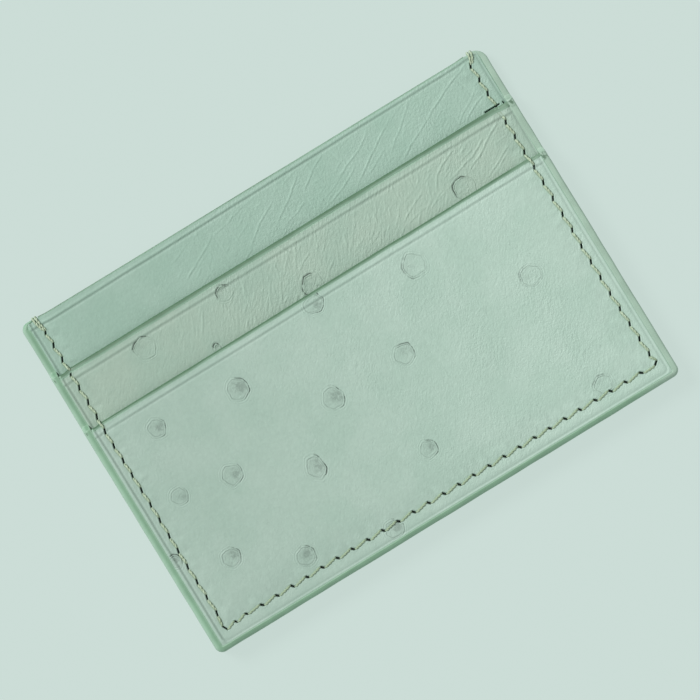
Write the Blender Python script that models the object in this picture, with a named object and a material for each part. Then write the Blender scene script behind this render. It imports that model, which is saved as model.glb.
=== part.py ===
"""Slim leather card holder: a rear leaf and a body leaf make a centre pocket that opens at the top, and
two full-width slot panels are sewn over the body leaf. Welts in the seam leave each pocket the room of a
card, painted edges close the cut leather, and one U-shaped seam holds the stack.

The holder lies on its back: +X is its width, +Y points to the open top edge, +Z comes out of the front
face, and the origin is the middle of the back. Sizes are in millimetres and become metres in the meshes.
"""

from math import cos, pi, radians, sin, sqrt

import bmesh
import bpy

MM = 0.001

# Outline of the finished holder.
WIDTH = 100.0
HEIGHT = 71.0
BOTTOM_CORNER = 1.5
TOP_CORNER = 1.9
LIP_CORNER = 0.1
RIM_RADIUS = 1.0  # the front and back rims are ground round before painting
CORNER_STEPS = 5

# Standard bank card, which sets the pockets.
CARD_WIDTH = 85.6
CARD_HEIGHT = 54.0
CARD_THICKNESS = 0.76
CARD_PLAY = 0.06
SIDE_PLAY = 1.2

# Sheet materials, from the back to the front of the stack.
REAR_LEATHER = 0.70
LEATHER = 0.55
LINING = 0.15
WELT = CARD_THICKNESS + CARD_PLAY
GLUE = 0.03  # glue line left open between two sheets
PAINT = 0.22  # thickness of the edge paint
STACK = (
    ("rear_panel", REAR_LEATHER),
    ("rear_panel_lining", LINING),
    ("centre_pocket_welt", WELT),
    ("body_panel_lining", LINING),
    ("body_panel", LEATHER),
    ("upper_slot_welt", WELT),
    ("upper_slot_lining", LINING),
    ("upper_slot_panel", LEATHER),
    ("lower_slot_welt", WELT),
    ("lower_slot_lining", LINING),
    ("lower_slot_panel", LEATHER),
)

# Pockets, as heights in Y.
TOP = HEIGHT / 2
BOTTOM = -HEIGHT / 2
UPPER_MOUTH = TOP - 11.4
LOWER_MOUTH = TOP - 23.0
WELT_INNER = CARD_WIDTH / 2 + SIDE_PLAY
WELT_BASE = BOTTOM + 5.0
UPPER_WELT_BASE = TOP - 0.4 - CARD_HEIGHT  # the upper card's top edge ends just under the top of the leaf

# Seam.
SEAM_INSET = 3.55
SEAM_LIFT = 3.9  # of the bottom run, above the bottom edge
SEAM_X = WIDTH / 2 - SEAM_INSET
SEAM_BOTTOM = BOTTOM + SEAM_LIFT
FIRST_HOLE = {-1: TOP - 3.1, 1: TOP - 2.2}  # left and right end of the seam
SIDE_STITCHES = 20
BOTTOM_STITCHES = 29
THREAD_RADIUS = 0.19
STITCH_RISE = 0.10  # height of a stitch's middle line above the leather
STITCH_DIP = 0.10  # depth of that line where the thread goes into a hole
STITCH_RAMP = 0.45
GROOVE_WIDTH = 0.56
GROOVE_DEPTH = 0.36
REAR_GROOVE_DEPTH = 0.49
REAR_THREAD_Z = THREAD_RADIUS + 0.02  # the rear thread lies wholly inside its groove
REAR_THREAD_DIP = 0.05

# Backtacks, which lie in a notch in the top edge.
TACK_NOTCH_INNER = SEAM_X - 0.4
TACK_NOTCH_OUTER = SEAM_X + 1.3
TACK_NOTCH_Y = TOP - 0.45
TACK_SPREAD_HOLE = 0.42
TACK_SPREAD_EDGE = 0.8
TACK_CLEARANCE = 0.04
TACK_BEND = 0.15

EPSILON = 1e-6


def stack_spans():
    """Lowest and highest Z of each sheet, with a glue line between neighbours."""
    spans = {}
    low = 0.0
    for name, thickness in STACK:
        spans[name] = (low, low + thickness)
        low += thickness + GLUE
    return spans


SPANS = stack_spans()
FRONT = SPANS["lower_slot_panel"][1]
UPPER_FACE = SPANS["upper_slot_panel"][1]
BODY_FACE = SPANS["body_panel"][1]
RIM_LEVELS = (0.1, 0.3, RIM_RADIUS, FRONT - RIM_RADIUS, FRONT - 0.3, FRONT - 0.1)
LEVELS = sorted({z for span in SPANS.values() for z in span} | set(RIM_LEVELS))


# ---- outlines --------------------------------------------------------------------------------------


def rim_inset(z):
    """How far the finished edge stands in from the full outline at this height."""
    depth = min(z, FRONT - z)
    if depth >= RIM_RADIUS:
        return 0.0
    return RIM_RADIUS - sqrt(max(RIM_RADIUS**2 - (RIM_RADIUS - depth) ** 2, 0.0))


def leather_inset(z):
    """The same for the leather under the edge paint."""
    return rim_inset(z) + PAINT + GLUE


def levels_between(low, high):
    return [z for z in LEVELS if low - EPSILON <= z <= high + EPSILON]


def arc(centre_x, centre_y, radius, start):
    """Points of a quarter circle that runs anticlockwise from this angle in degrees."""
    angles = [radians(start + 90.0 * i / CORNER_STEPS) for i in range(CORNER_STEPS + 1)]
    return [(centre_x + radius * cos(a), centre_y + radius * sin(a)) for a in angles]


def corners(inset, top, top_radius):
    """Four corner arcs, anticlockwise from the bottom left, of the outline moved in by inset."""
    side = WIDTH / 2 - inset
    low = BOTTOM + inset
    low_radius = BOTTOM_CORNER - inset
    return (
        arc(-side + low_radius, low + low_radius, low_radius, 180.0),
        arc(side - low_radius, low + low_radius, low_radius, 270.0),
        arc(side - top_radius, top - top_radius, top_radius, 0.0),
        arc(-side + top_radius, top - top_radius, top_radius, 90.0),
    )


def leaf_corners(z):
    """Corners of a sheet that reaches the open top edge."""
    inset = leather_inset(z)
    return corners(inset, TOP - inset, TOP_CORNER - inset)


def slot_corners(z, mouth):
    """Corners of a sheet that ends at a slot's mouth."""
    return corners(leather_inset(z), mouth - PAINT - GLUE, LIP_CORNER)


def sheet_outline(four_corners):
    return [point for corner in four_corners for point in corner]


def welt_outline(four_corners, base):
    """U shape: the outline with the pocket's own space left out."""
    low_left, low_right, top_right, top_left = four_corners
    top = top_right[-1][1]
    hollow = [(WELT_INNER, top), (WELT_INNER, base), (-WELT_INNER, base), (-WELT_INNER, top)]
    return low_left + low_right + top_right + hollow + top_left


# ---- solids ----------------------------------------------------------------------------------------


def remove_all():
    for item in list(bpy.data.objects):
        bpy.data.objects.remove(item, do_unlink=True)


def finish(name, data, material, parent):
    item = bpy.data.objects.new(name, data)
    bpy.context.scene.collection.objects.link(item)
    item.parent = parent
    data.materials.append(material)
    return item


def mesh_from(build, name):
    """Mesh with outward faces from a bmesh, shaded smooth with sharp edges kept."""
    bmesh.ops.recalc_face_normals(build, faces=build.faces)
    data = bpy.data.meshes.new(name)
    build.to_mesh(data)
    build.free()
    data.shade_smooth()
    data.set_sharp_from_angle(angle=radians(35))
    return data


def lofted_mesh(name, outline_at, levels):
    """Closed solid through one outline for each level."""
    build = bmesh.new()
    loops = []
    for z in levels:
        loops.append([build.verts.new((x * MM, y * MM, z * MM)) for x, y in outline_at(z)])
    for low, high in zip(loops, loops[1:]):
        for i in range(len(low)):
            j = (i + 1) % len(low)
            build.faces.new((low[i], low[j], high[j], high[i]))
    build.faces.new(reversed(loops[0]))
    build.faces.new(loops[-1])
    return mesh_from(build, name)


def sheet(name, outline_at, material, parent):
    low, high = SPANS[name]
    return finish(name, lofted_mesh(name, outline_at, levels_between(low, high)), material, parent)


def edge_strip(name, lower_sheet, upper_sheet, mouth, end, rim, material, parent):
    """Painted edge of a lined sheet along its mouth; end is a fixed half length or None for full width."""
    low = SPANS[lower_sheet][0]
    high = SPANS[upper_sheet][1]
    lip = 0.12
    levels = sorted(set(levels_between(low, high)) | {low + lip, high - lip})

    def outline_at(z):
        curve = rim_inset(z) if rim else 0.0
        rounding = lip / 2 if z in (low, high) else 0.0
        half = end or WIDTH / 2 - leather_inset(z)
        inner = mouth - curve - PAINT
        outer = mouth - max(curve, rounding)
        return [(-half, inner), (half, inner), (half, outer), (-half, outer)]

    return finish(name, lofted_mesh(name, outline_at, levels), material, parent)


def band_path(inset):
    """Points of the painted edge from the left backtack, round the bottom, to the right backtack."""
    low_left, low_right, top_right, top_left = corners(inset, TOP - inset, TOP_CORNER - inset)
    side = WIDTH / 2 - inset
    start = [(-TACK_NOTCH_OUTER, TOP - inset)] + top_left
    left = [(-side, UPPER_MOUTH), (-side, LOWER_MOUTH)]
    right = [(side, LOWER_MOUTH), (side, UPPER_MOUTH)]
    end = top_right + [(TACK_NOTCH_OUTER, TOP - inset)]
    heights = (
        [BODY_FACE] * len(start)
        + [UPPER_FACE]
        + [FRONT] * (len(low_left) + len(low_right) + 1)
        + [UPPER_FACE]
        + [BODY_FACE] * len(end)
    )
    return start + left + low_left + low_right + right + end, heights[:-1]


def perimeter_paint(name, material, parent):
    """Skin of paint round three sides, which steps down at each slot's mouth."""
    heights = band_path(0.0)[1]
    outer_paths = [band_path(rim_inset(z))[0] for z in LEVELS]
    inner_paths = [band_path(rim_inset(z) + PAINT)[0] for z in LEVELS]
    build = bmesh.new()
    made = {}

    def vertex(paths, station, level):
        key = (paths is inner_paths, station, level)
        if key not in made:
            x, y = paths[level][station]
            made[key] = build.verts.new((x * MM, y * MM, LEVELS[level] * MM))
        return made[key]

    def filled(run, level):
        inside = 0 <= run < len(heights) and 0 <= level < len(LEVELS) - 1
        return inside and LEVELS[level + 1] <= heights[run] + EPSILON

    def wall(first, second):
        """Face between the outer and inner skin along one edge of a cell."""
        build.faces.new(
            (
                vertex(outer_paths, *first),
                vertex(outer_paths, *second),
                vertex(inner_paths, *second),
                vertex(inner_paths, *first),
            )
        )

    for run in range(len(heights)):
        for level in range(len(LEVELS) - 1):
            if not filled(run, level):
                continue
            ring = [(run, level), (run + 1, level), (run + 1, level + 1), (run, level + 1)]
            beyond = [(run, level - 1), (run + 1, level), (run, level + 1), (run - 1, level)]
            build.faces.new([vertex(outer_paths, *corner) for corner in ring])
            build.faces.new([vertex(inner_paths, *corner) for corner in reversed(ring)])
            for i, neighbour in enumerate(beyond):
                if not filled(*neighbour):
                    wall(ring[i], ring[(i + 1) % 4])
    return finish(name, mesh_from(build, name), material, parent)


def thread(name, points, material, parent):
    """Round thread through these points."""
    data = bpy.data.curves.new(name, "CURVE")
    data.dimensions = "3D"
    data.bevel_depth = THREAD_RADIUS * MM
    data.bevel_resolution = 1
    data.use_fill_caps = True
    spline = data.splines.new("POLY")
    spline.points.add(len(points) - 1)
    for place, point in zip(spline.points, points):
        place.co = (*(value * MM for value in point), 1.0)
    spline.use_smooth = True
    return finish(name, data, material, parent)


# ---- cuts ------------------------------------------------------------------------------------------


def add_box(build, x_range, y_range, z_range):
    places = [(x, y, z) for z in z_range for x, y in zip(x_range * 2, sorted(y_range * 2))]
    verts = [build.verts.new([value * MM for value in place]) for place in places]
    sides = ((0, 2, 3, 1), (4, 5, 7, 6), (0, 1, 5, 4), (1, 3, 7, 5), (3, 2, 6, 7), (2, 0, 4, 6))
    for side in sides:
        build.faces.new([verts[i] for i in side])


def cutter(name, build, parent):
    data = mesh_from(build, name)
    item = bpy.data.objects.new(name, data)
    bpy.context.scene.collection.objects.link(item)
    item.parent = parent
    item.hide_render = True
    item.display_type = "WIRE"
    return item


def side_boxes(x_inner, x_outer, y_ranges, z_range):
    """One box on each side of the holder."""
    build = bmesh.new()
    for side, y_range in y_ranges.items():
        add_box(build, tuple(sorted((side * x_inner, side * x_outer))), y_range, z_range)
    return build


def groove_band(z_range):
    """U-shaped groove along the whole seam, open at both top ends."""
    half = GROOVE_WIDTH / 2
    outer, inner = SEAM_X + half, SEAM_X - half
    past_top = TOP + 1.0
    outline = [
        (-outer, past_top),
        (-outer, SEAM_BOTTOM - half),
        (outer, SEAM_BOTTOM - half),
        (outer, past_top),
        (inner, past_top),
        (inner, SEAM_BOTTOM + half),
        (-inner, SEAM_BOTTOM + half),
        (-inner, past_top),
    ]
    build = bmesh.new()
    build.from_mesh(lofted_mesh("groove_band", lambda z: outline, z_range))
    return build


def cut(item, *cutters):
    for tool in cutters:
        boolean = item.modifiers.new(tool.name, "BOOLEAN")
        boolean.operation = "DIFFERENCE"
        boolean.solver = "EXACT"
        boolean.object = tool


# ---- seam ------------------------------------------------------------------------------------------


def face_at(y):
    """Front surface of the border at this height."""
    if y > UPPER_MOUTH:
        return BODY_FACE
    return UPPER_FACE if y > LOWER_MOUTH else FRONT


def side_holes(side):
    top = FIRST_HOLE[side]
    pitch = (top - SEAM_BOTTOM) / SIDE_STITCHES
    return [top - pitch * i for i in range(SIDE_STITCHES + 1)]


def over_mouth(mouth):
    """Where a stitch climbs over a slot's lip, from the lower face to the higher one."""
    low, high = face_at(mouth + 1.0), face_at(mouth - 1.0)
    return [
        (mouth + 0.32, low + 0.25),
        (mouth + 0.32, high + 0.04),
        (mouth + 0.06, high + 0.24),
        (mouth - 0.40, high + 0.24),
    ]


def front_side(side):
    """Y and Z of the front thread down one side."""
    holes = side_holes(side)
    path = [(holes[0] - 0.3, face_at(holes[0]) - STITCH_DIP + 0.05)]
    for above, below in zip(holes, holes[1:]):
        crossing = [m for m in (UPPER_MOUTH, LOWER_MOUTH) if below < m < above]
        start, end = above - STITCH_RAMP, below + STITCH_RAMP
        if above == holes[0]:
            start -= 0.3
        if not crossing or start > crossing[0] + STITCH_RAMP:
            path.append((start, face_at(above) + STITCH_RISE))
        for mouth in crossing:
            path += over_mouth(mouth)
        if not crossing or end < crossing[0] - STITCH_RAMP:
            path.append((end, face_at(below) + STITCH_RISE))
        path.append((below, face_at(below) - STITCH_DIP))
    return path


def rear_side(side):
    """Y and Z of the rear thread down one side."""
    holes = side_holes(side)
    path = [(holes[0] - 0.3, REAR_THREAD_Z)]
    for above, below in zip(holes, holes[1:]):
        path.append((below + STITCH_RAMP, REAR_THREAD_Z))
        path.append((below, REAR_THREAD_Z + REAR_THREAD_DIP))
        path.append((below - STITCH_RAMP, REAR_THREAD_Z))
    return path[:-1]


def bottom_run(run_z, hole_z):
    """X and Z of a thread between the two bottom corners."""
    pitch = 2 * SEAM_X / BOTTOM_STITCHES
    path = []
    for i in range(BOTTOM_STITCHES):
        hole = -SEAM_X + pitch * i
        path += [(hole + STITCH_RAMP, run_z), (hole + pitch - STITCH_RAMP, run_z)]
        path.append((hole + pitch, hole_z))
    return path[:-1]


def seam_path(side_profile, run_z, hole_z):
    left = [(-SEAM_X, y, z) for y, z in side_profile(-1)]
    base = [(x, SEAM_BOTTOM, z) for x, z in bottom_run(run_z, hole_z)]
    right = [(SEAM_X, y, z) for y, z in side_profile(1)]
    return left + base + right[::-1]


def tack_path(side):
    """Thread that goes over the top edge and back, from the rear to the first front hole and again."""
    hole = FIRST_HOLE[side]
    edge = TACK_NOTCH_Y + THREAD_RADIUS + TACK_CLEARANCE
    rear = REAR_THREAD_Z
    front = BODY_FACE + THREAD_RADIUS + TACK_CLEARANCE
    profile = [
        (hole + 0.15, rear),
        (edge - TACK_BEND, rear),
        (edge, rear + TACK_BEND),
        (edge, front - TACK_BEND),
        (edge - TACK_BEND, front),
        (hole + 0.25, front),
    ]

    def strand(at_hole, at_edge):
        x_at = [at_hole] + [at_edge] * 4 + [at_hole]
        return [(side * (SEAM_X + x), y, z) for x, (y, z) in zip(x_at, profile)]

    return strand(0.0, 0.0) + strand(TACK_SPREAD_HOLE, TACK_SPREAD_EDGE)[::-1]


# ---- materials -------------------------------------------------------------------------------------


def linear(value):
    value /= 255.0
    return value / 12.92 if value <= 0.04045 else ((value + 0.055) / 1.055) ** 2.4


def finish_of(name, srgb, roughness):
    material = bpy.data.materials.new(name)
    material.use_nodes = True
    surface = material.node_tree.nodes["Principled BSDF"]
    surface.inputs["Base Color"].default_value = (*(linear(value) for value in srgb), 1.0)
    surface.inputs["Roughness"].default_value = roughness
    surface.inputs["Metallic"].default_value = 0.0
    return material


# ---- assembly --------------------------------------------------------------------------------------


def main():
    remove_all()
    holder = bpy.data.objects.new("card_holder", None)
    bpy.context.scene.collection.objects.link(holder)

    leather = finish_of("quill_leather", (170, 193, 180), 0.45)
    body_leather = finish_of("body_leather", (160, 186, 171), 0.45)
    lining = finish_of("smooth_lining", (150, 178, 160), 0.6)
    welt = finish_of("welt_leather", (140, 168, 148), 0.7)
    paint = finish_of("edge_paint", (126, 172, 138), 0.35)
    cord = finish_of("waxed_thread", (190, 205, 160), 0.5)

    full_height = lambda z: sheet_outline(leaf_corners(z))  # noqa: E731
    panels = {
        "rear_panel": sheet("rear_panel", full_height, leather, holder),
        "rear_panel_lining": sheet("rear_panel_lining", full_height, lining, holder),
        "centre_pocket_welt": sheet(
            "centre_pocket_welt", lambda z: welt_outline(leaf_corners(z), WELT_BASE), welt, holder
        ),
        "body_panel_lining": sheet("body_panel_lining", full_height, lining, holder),
        "body_panel": sheet("body_panel", full_height, body_leather, holder),
    }
    slots = (("upper_slot", UPPER_MOUTH, UPPER_WELT_BASE), ("lower_slot", LOWER_MOUTH, WELT_BASE))
    for slot, mouth, base in slots:
        panels[slot + "_welt"] = sheet(
            slot + "_welt",
            lambda z, m=mouth, b=base: welt_outline(slot_corners(z, m), b),
            welt,
            holder,
        )
        for kind, material in (("_lining", lining), ("_panel", leather)):
            panels[slot + kind] = sheet(
                slot + kind, lambda z, m=mouth: sheet_outline(slot_corners(z, m)), material, holder
            )

    perimeter_paint("perimeter_edge_paint", paint, holder)
    leaf_end = TACK_NOTCH_INNER - GLUE
    strips = (
        ("rear_panel_edge_paint", "rear_panel", "rear_panel_lining", TOP, leaf_end, True),
        ("body_panel_edge_paint", "body_panel_lining", "body_panel", TOP, leaf_end, False),
        ("upper_slot_edge_paint", "upper_slot_lining", "upper_slot_panel", UPPER_MOUTH, None, False),
        ("lower_slot_edge_paint", "lower_slot_lining", "lower_slot_panel", LOWER_MOUTH, None, False),
    )
    for name, low_sheet, high_sheet, mouth, end, rim in strips:
        edge_strip(name, low_sheet, high_sheet, mouth, end, rim, paint, holder)

    # Grooves for the thread: the whole seam on the outermost sheets, only the bare strip on the others.
    past_top = TOP + 1.0
    front_groove = cutter(
        "front_groove", groove_band((FRONT - GROOVE_DEPTH, FRONT + 1.0)), holder
    )
    rear_groove = cutter("rear_groove", groove_band((-1.0, REAR_GROOVE_DEPTH)), holder)
    bare_strips = (
        ("upper_slot_panel", LOWER_MOUTH, {-1: past_top, 1: past_top}),
        ("body_panel", UPPER_MOUTH, {side: hole + 0.2 for side, hole in FIRST_HOLE.items()}),
    )
    for name, mouth, tops in bare_strips:
        face = SPANS[name][1]
        build = side_boxes(
            SEAM_X - GROOVE_WIDTH / 2,
            SEAM_X + GROOVE_WIDTH / 2,
            {side: (mouth - 1.0, top) for side, top in tops.items()},
            (face - GROOVE_DEPTH, face + 1.0),
        )
        cut(panels[name], cutter(name + "_groove", build, holder))
    cut(panels["lower_slot_panel"], front_groove)

    notch = side_boxes(
        TACK_NOTCH_INNER,
        TACK_NOTCH_OUTER,
        dict.fromkeys((-1, 1), (TACK_NOTCH_Y, past_top)),
        (-1.0, BODY_FACE + 1.0),
    )
    recess = side_boxes(
        TACK_NOTCH_INNER,
        TACK_NOTCH_OUTER,
        {side: (hole - 0.6, past_top) for side, hole in FIRST_HOLE.items()},
        (-1.0, REAR_GROOVE_DEPTH + 0.01),
    )
    tack_notch = cutter("tack_notch", notch, holder)
    tack_recess = cutter("tack_recess", recess, holder)
    cut(panels["rear_panel"], rear_groove, tack_recess, tack_notch)
    for name in ("rear_panel_lining", "centre_pocket_welt", "body_panel_lining", "body_panel"):
        cut(panels[name], tack_notch)

    front_path = seam_path(front_side, FRONT + STITCH_RISE, FRONT - STITCH_DIP)
    rear_path = seam_path(rear_side, REAR_THREAD_Z, REAR_THREAD_Z + REAR_THREAD_DIP)
    thread("front_seam_thread", front_path, cord, holder)
    thread("rear_seam_thread", rear_path, cord, holder)
    thread("left_mouth_backtack", tack_path(-1), cord, holder)
    thread("right_mouth_backtack", tack_path(1), cord, holder)


main()
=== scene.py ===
import math

import bpy
import numpy as np
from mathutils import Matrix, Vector


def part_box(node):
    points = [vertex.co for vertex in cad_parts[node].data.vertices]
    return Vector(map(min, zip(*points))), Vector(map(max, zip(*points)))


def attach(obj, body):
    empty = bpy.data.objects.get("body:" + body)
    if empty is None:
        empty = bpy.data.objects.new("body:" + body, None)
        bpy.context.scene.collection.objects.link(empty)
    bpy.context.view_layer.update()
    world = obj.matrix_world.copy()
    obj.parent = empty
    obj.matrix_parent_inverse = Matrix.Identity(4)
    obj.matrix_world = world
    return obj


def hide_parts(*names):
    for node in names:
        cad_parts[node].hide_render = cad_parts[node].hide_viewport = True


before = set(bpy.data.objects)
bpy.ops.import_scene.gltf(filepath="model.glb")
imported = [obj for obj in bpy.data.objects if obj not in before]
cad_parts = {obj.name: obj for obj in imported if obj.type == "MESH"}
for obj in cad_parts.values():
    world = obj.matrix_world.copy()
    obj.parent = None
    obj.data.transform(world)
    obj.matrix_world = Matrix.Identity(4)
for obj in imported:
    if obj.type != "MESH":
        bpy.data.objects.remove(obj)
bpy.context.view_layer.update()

metre = 0.001  # one millimetre; every size below is in millimetres


# the frame, read in millimetres

def spanOf(node):
    low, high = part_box(node)
    return low * 1000, high * 1000


outlineLow, outlineHigh = spanOf("perimeter_edge_paint")
halfWidth = outlineHigh.x
bottomY, topY = outlineLow.y, outlineHigh.y
bodyFace = spanOf("body_panel")[1].z
upperFace = spanOf("upper_slot_panel")[1].z
frontFace = spanOf("lower_slot_panel")[1].z
upperMouth = spanOf("upper_slot_edge_paint")[1].y
lowerMouth = spanOf("lower_slot_edge_paint")[1].y

holder = {
    "bottomCorner": 1.5,
    "topCorner": {-1: 1.5, 1: 2.5},  # left and right
    "reach": {-1: 1.42, 0: 1.05, 1: 1.20},  # of the edge paint: left, bottom, right
    "rim": 0.95,  # radius of the ground front edge
    "stripRim": 0.75,  # the same where fewer layers lie
    "rearRim": 0.9,
    "crease": {-1: 2.30, 0: 1.52, 1: 1.86},  # heated crease, from the edge
    "creaseStrength": {-1: 1.0, 0: 0.50, 1: 0.65},
    "creaseWidth": 0.17,
    "creaseDepth": 0.12,
    "bead": 0.19,  # leather pushed up beside the crease
    "lipBead": 0.06,
    "paintSink": 0.07,  # leather under the edge paint
    "uneven": ((2.2, 73, 0.008), (0.8, 71, 0.005), (0.4, 72, 0.003)),  # cell, seed and height
}


# small tools, used by all the pieces

def smooth(value, low, high):
    t = np.clip((value - low) / (high - low), 0, 1)
    return t * t * (3 - 2 * t)


def bell(value, width):
    return np.exp(-(value / width) ** 2)


def softNoise(x, y, cell, seed):
    # smooth random hills between -1 and 1, about one cell wide
    table = np.random.default_rng(seed).uniform(-1, 1, (128, 128))
    u, v = x / cell + 400.0, y / cell + 400.0
    i, j = np.floor(u).astype(int), np.floor(v).astype(int)
    a, b = u - i, v - j
    a, b = a * a * (3 - 2 * a), b * b * (3 - 2 * b)

    def at(p, q):
        return table[p % 128, q % 128]

    near = at(i, j) * (1 - a) + at(i + 1, j) * a
    far = at(i, j + 1) * (1 - a) + at(i + 1, j + 1) * a
    return near * (1 - b) + far * b


def linear(hexColour):
    # sRGB hex to linear RGBA
    channels = [int(hexColour[i:i + 2], 16) / 255 for i in (0, 2, 4)]
    return [c / 12.92 if c <= 0.04045 else ((c + 0.055) / 1.055) ** 2.4 for c in channels] + [1.0]


nodeSettings = {
    "MapRange": {"interpolation_type": "SMOOTHSTEP"},
    "Mix": {"data_type": "RGBA"},
    "VectorRotate": {"rotation_type": "Z_AXIS"},
    "GeometryNodeResampleCurve": {"mode": "LENGTH"},
}


def addNode(tree, kind, *values, **settings):
    # kind may leave out ShaderNode and may end in an operation; the values fill the inputs in
    # order, or by name from a dictionary, and a node among them passes on its first output in use
    kind, _, operation = kind.partition(" ")
    node = tree.nodes.new(kind if "Node" in kind else "ShaderNode" + kind)
    if operation:
        node.operation = operation
    for key, value in {**nodeSettings.get(kind, {}), **settings}.items():
        setattr(node, key, value)
    places = (0, 6, 7) if kind == "Mix" else range(len(values))  # a colour mix: share, two colours
    inputs = values[0] if values and isinstance(values[0], dict) else dict(zip(places, values))
    for key, value in inputs.items():
        if isinstance(value, bpy.types.Node):
            value = next(output for output in value.outputs if output.enabled)
        if isinstance(value, bpy.types.NodeSocket):
            tree.links.new(value, node.inputs[key])
        else:
            node.inputs[key].default_value = value
    return node


def link(obj):
    bpy.context.scene.collection.objects.link(obj)
    return obj


def meshObject(name, points, faces, material, sharpAngle=50):
    mesh = bpy.data.meshes.new(name)
    mesh.from_pydata((np.asarray(points, float) * metre).tolist(), [], faces)
    mesh.materials.append(material)
    mesh.shade_smooth()
    mesh.set_sharp_from_angle(angle=math.radians(sharpAngle))
    mesh.update()
    return link(bpy.data.objects.new(name, mesh))


def setAttribute(obj, name, values):
    attribute = obj.data.attributes.new(name, "FLOAT", "POINT")
    attribute.data.foreach_set("value", np.asarray(values, np.float32).reshape(-1))


def within(x, y, middle, reach):
    return (np.abs(x - middle[0]) < reach) & (np.abs(y - middle[1]) < reach)


def turned(dx, dy, degrees):
    # an offset measured along and across a direction
    c, s = math.cos(math.radians(degrees)), math.sin(math.radians(degrees))
    return dx * c + dy * s, dy * c - dx * s


def fromRun(px, py, start, end):
    # distance to a straight run, the share of it passed there, and the side it lies on
    wx, wy = end[0] - start[0], end[1] - start[1]
    t = np.clip(((px - start[0]) * wx + (py - start[1]) * wy) / (wx * wx + wy * wy), 0, 1)
    dx, dy = px - start[0] - t * wx, py - start[1] - t * wy
    return np.hypot(dx, dy), t, np.sign(wx * dy - wy * dx)


def standIn(piece, node):
    # the piece takes the place of a plain CAD node
    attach(piece, "root")
    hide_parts(node)


def spaced(low, high, step):
    return np.linspace(low, high, max(2, int(round((high - low) / step)) + 1))


def joinRuns(*runs):
    # one rising list of places from several stretches with their own spacing
    return np.unique(np.round(np.concatenate(runs), 3))


# seam layout

seam = {
    "left": -halfWidth + 3.66,
    "right": halfWidth - 3.48,
    "low": bottomY + 3.88,
    "sideStitches": 20,
    "bottomPitch": 3.281,
    "plyRadius": 0.142,
    "layRadius": 0.104,
    "twistLength": 1.5,
    "threadStep": 0.24,
    "lift": 0.13,  # middle of the thread above the pinched leather
    "tight": 0.10,  # the bottom run was pulled tighter and lies deeper
    "pinch": 0.12,
    "slitDepth": 0.36,
    "slitSwell": 0.07,  # leather pushed up round a slit
    "threadPress": 0.05,
    "pucker": 0.045,  # short gathers on the inner side of the stitches
    "setBack": 0.13,  # where the thread dives, short of the slit
}


def faceAt(y):
    if y > upperMouth:
        return bodyFace
    return upperFace if y > lowerMouth else frontFace


def seamHoles():
    # holes in sewing order, down the left, along the bottom and up the right, each as
    # x, y, travel, lean of the slit from the travel, its length and its width
    count = seam["sideStitches"]
    found = []
    for k in range(count):
        y = topY - 3.15 - 3.01 * k - 0.0104 * k * k  # the pitch opens towards the bottom
        found.append((seam["left"], y, -90.0, 14 + 9 * smooth(y, 8, 14), 1.06, 0.30))
    found.append((seam["left"] - 0.14, seam["low"] - 0.2, -45.0, 16.0, 1.05, 0.28))
    found.append((-halfWidth + 5.89, seam["low"] - 0.22, 0.0, 50.0, 0.66, 0.34))
    found.append((-halfWidth + 8.34, seam["low"] + 0.03, 0.0, 36.0, 0.66, 0.34))
    for k in range(1, 27):
        x = -halfWidth + 8.34 + seam["bottomPitch"] * k
        found.append((x, seam["low"], 0.0, 43.0, 0.80, 0.41))
    found.append((seam["right"] + 0.38, seam["low"] + 0.12, 45.0, 3.0, 1.0, 0.34))
    for k in range(count):
        t = k / (count - 1)
        y = bottomY + 6.03 + 62.67 * t + math.sin(math.pi * t * t)
        x = seam["right"] + 0.26 * (1 - smooth(t, 0, 0.2))
        found.append((x, y, 90.0, 21.0 + 6 * t, 0.98, 0.32))
    wander = np.random.default_rng(7).uniform(-1, 1, (len(found), 3))
    drift = softNoise(np.arange(len(found)) * 1.0, np.zeros(len(found)), 4.0, 8)
    holes = []
    for (x, y, travel, lean, length, width), w, d in zip(found, wander, drift):
        turn = math.radians(travel)
        side = 0.03 * w[0] + 0.10 * d
        holes.append((
            x + 0.05 * w[1] * math.cos(turn) - side * math.sin(turn),
            y + 0.05 * w[1] * math.sin(turn) + side * math.cos(turn),
            travel, lean * (1 + 0.12 * w[2]), length * (1 + 0.06 * w[1]), width,
        ))
    return holes


holes = seamHoles()


def slitEnds(hole):
    # a slit runs from its inner end to its outer end, to the right of the travel
    x, y, travel, lean, length, width = hole
    angle = math.radians(travel - lean)
    step = Vector((math.cos(angle), math.sin(angle))) * (length / 2 + 0.06)
    return Vector((x, y)) - step, Vector((x, y)) + step


def slitField(x, y, gaps=()):
    # about the distance in mm to the nearest slit's rim, negative inside
    field = np.full(x.shape, 2.0)
    slits = [(h[0], h[1], h[2] - h[3], h[4] + 0.22, h[5]) for h in holes]
    for cx, cy, direction, length, width in [*slits, *gaps]:
        near = within(x, y, (cx, cy), length / 2 + 1.5)
        a, b = turned(x[near] - cx, y[near] - cy, direction)
        rim = np.hypot(np.maximum(np.abs(a) - length / 2 + width / 2, 0), b) - width / 2
        field[near] = np.minimum(field[near], rim)
    return field


def threadField(x, y):
    # distance in mm to the nearest stitch's middle line, seen from the front
    field = np.full(x.shape, 3.0)
    for first, second in zip(holes, holes[1:]):
        start, end = slitEnds(first)[1], slitEnds(second)[0]
        near = within(x, y, (start + end) / 2, 3.2)
        field[near] = np.minimum(field[near], fromRun(x[near], y[near], start, end)[0])
    return field


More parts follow.
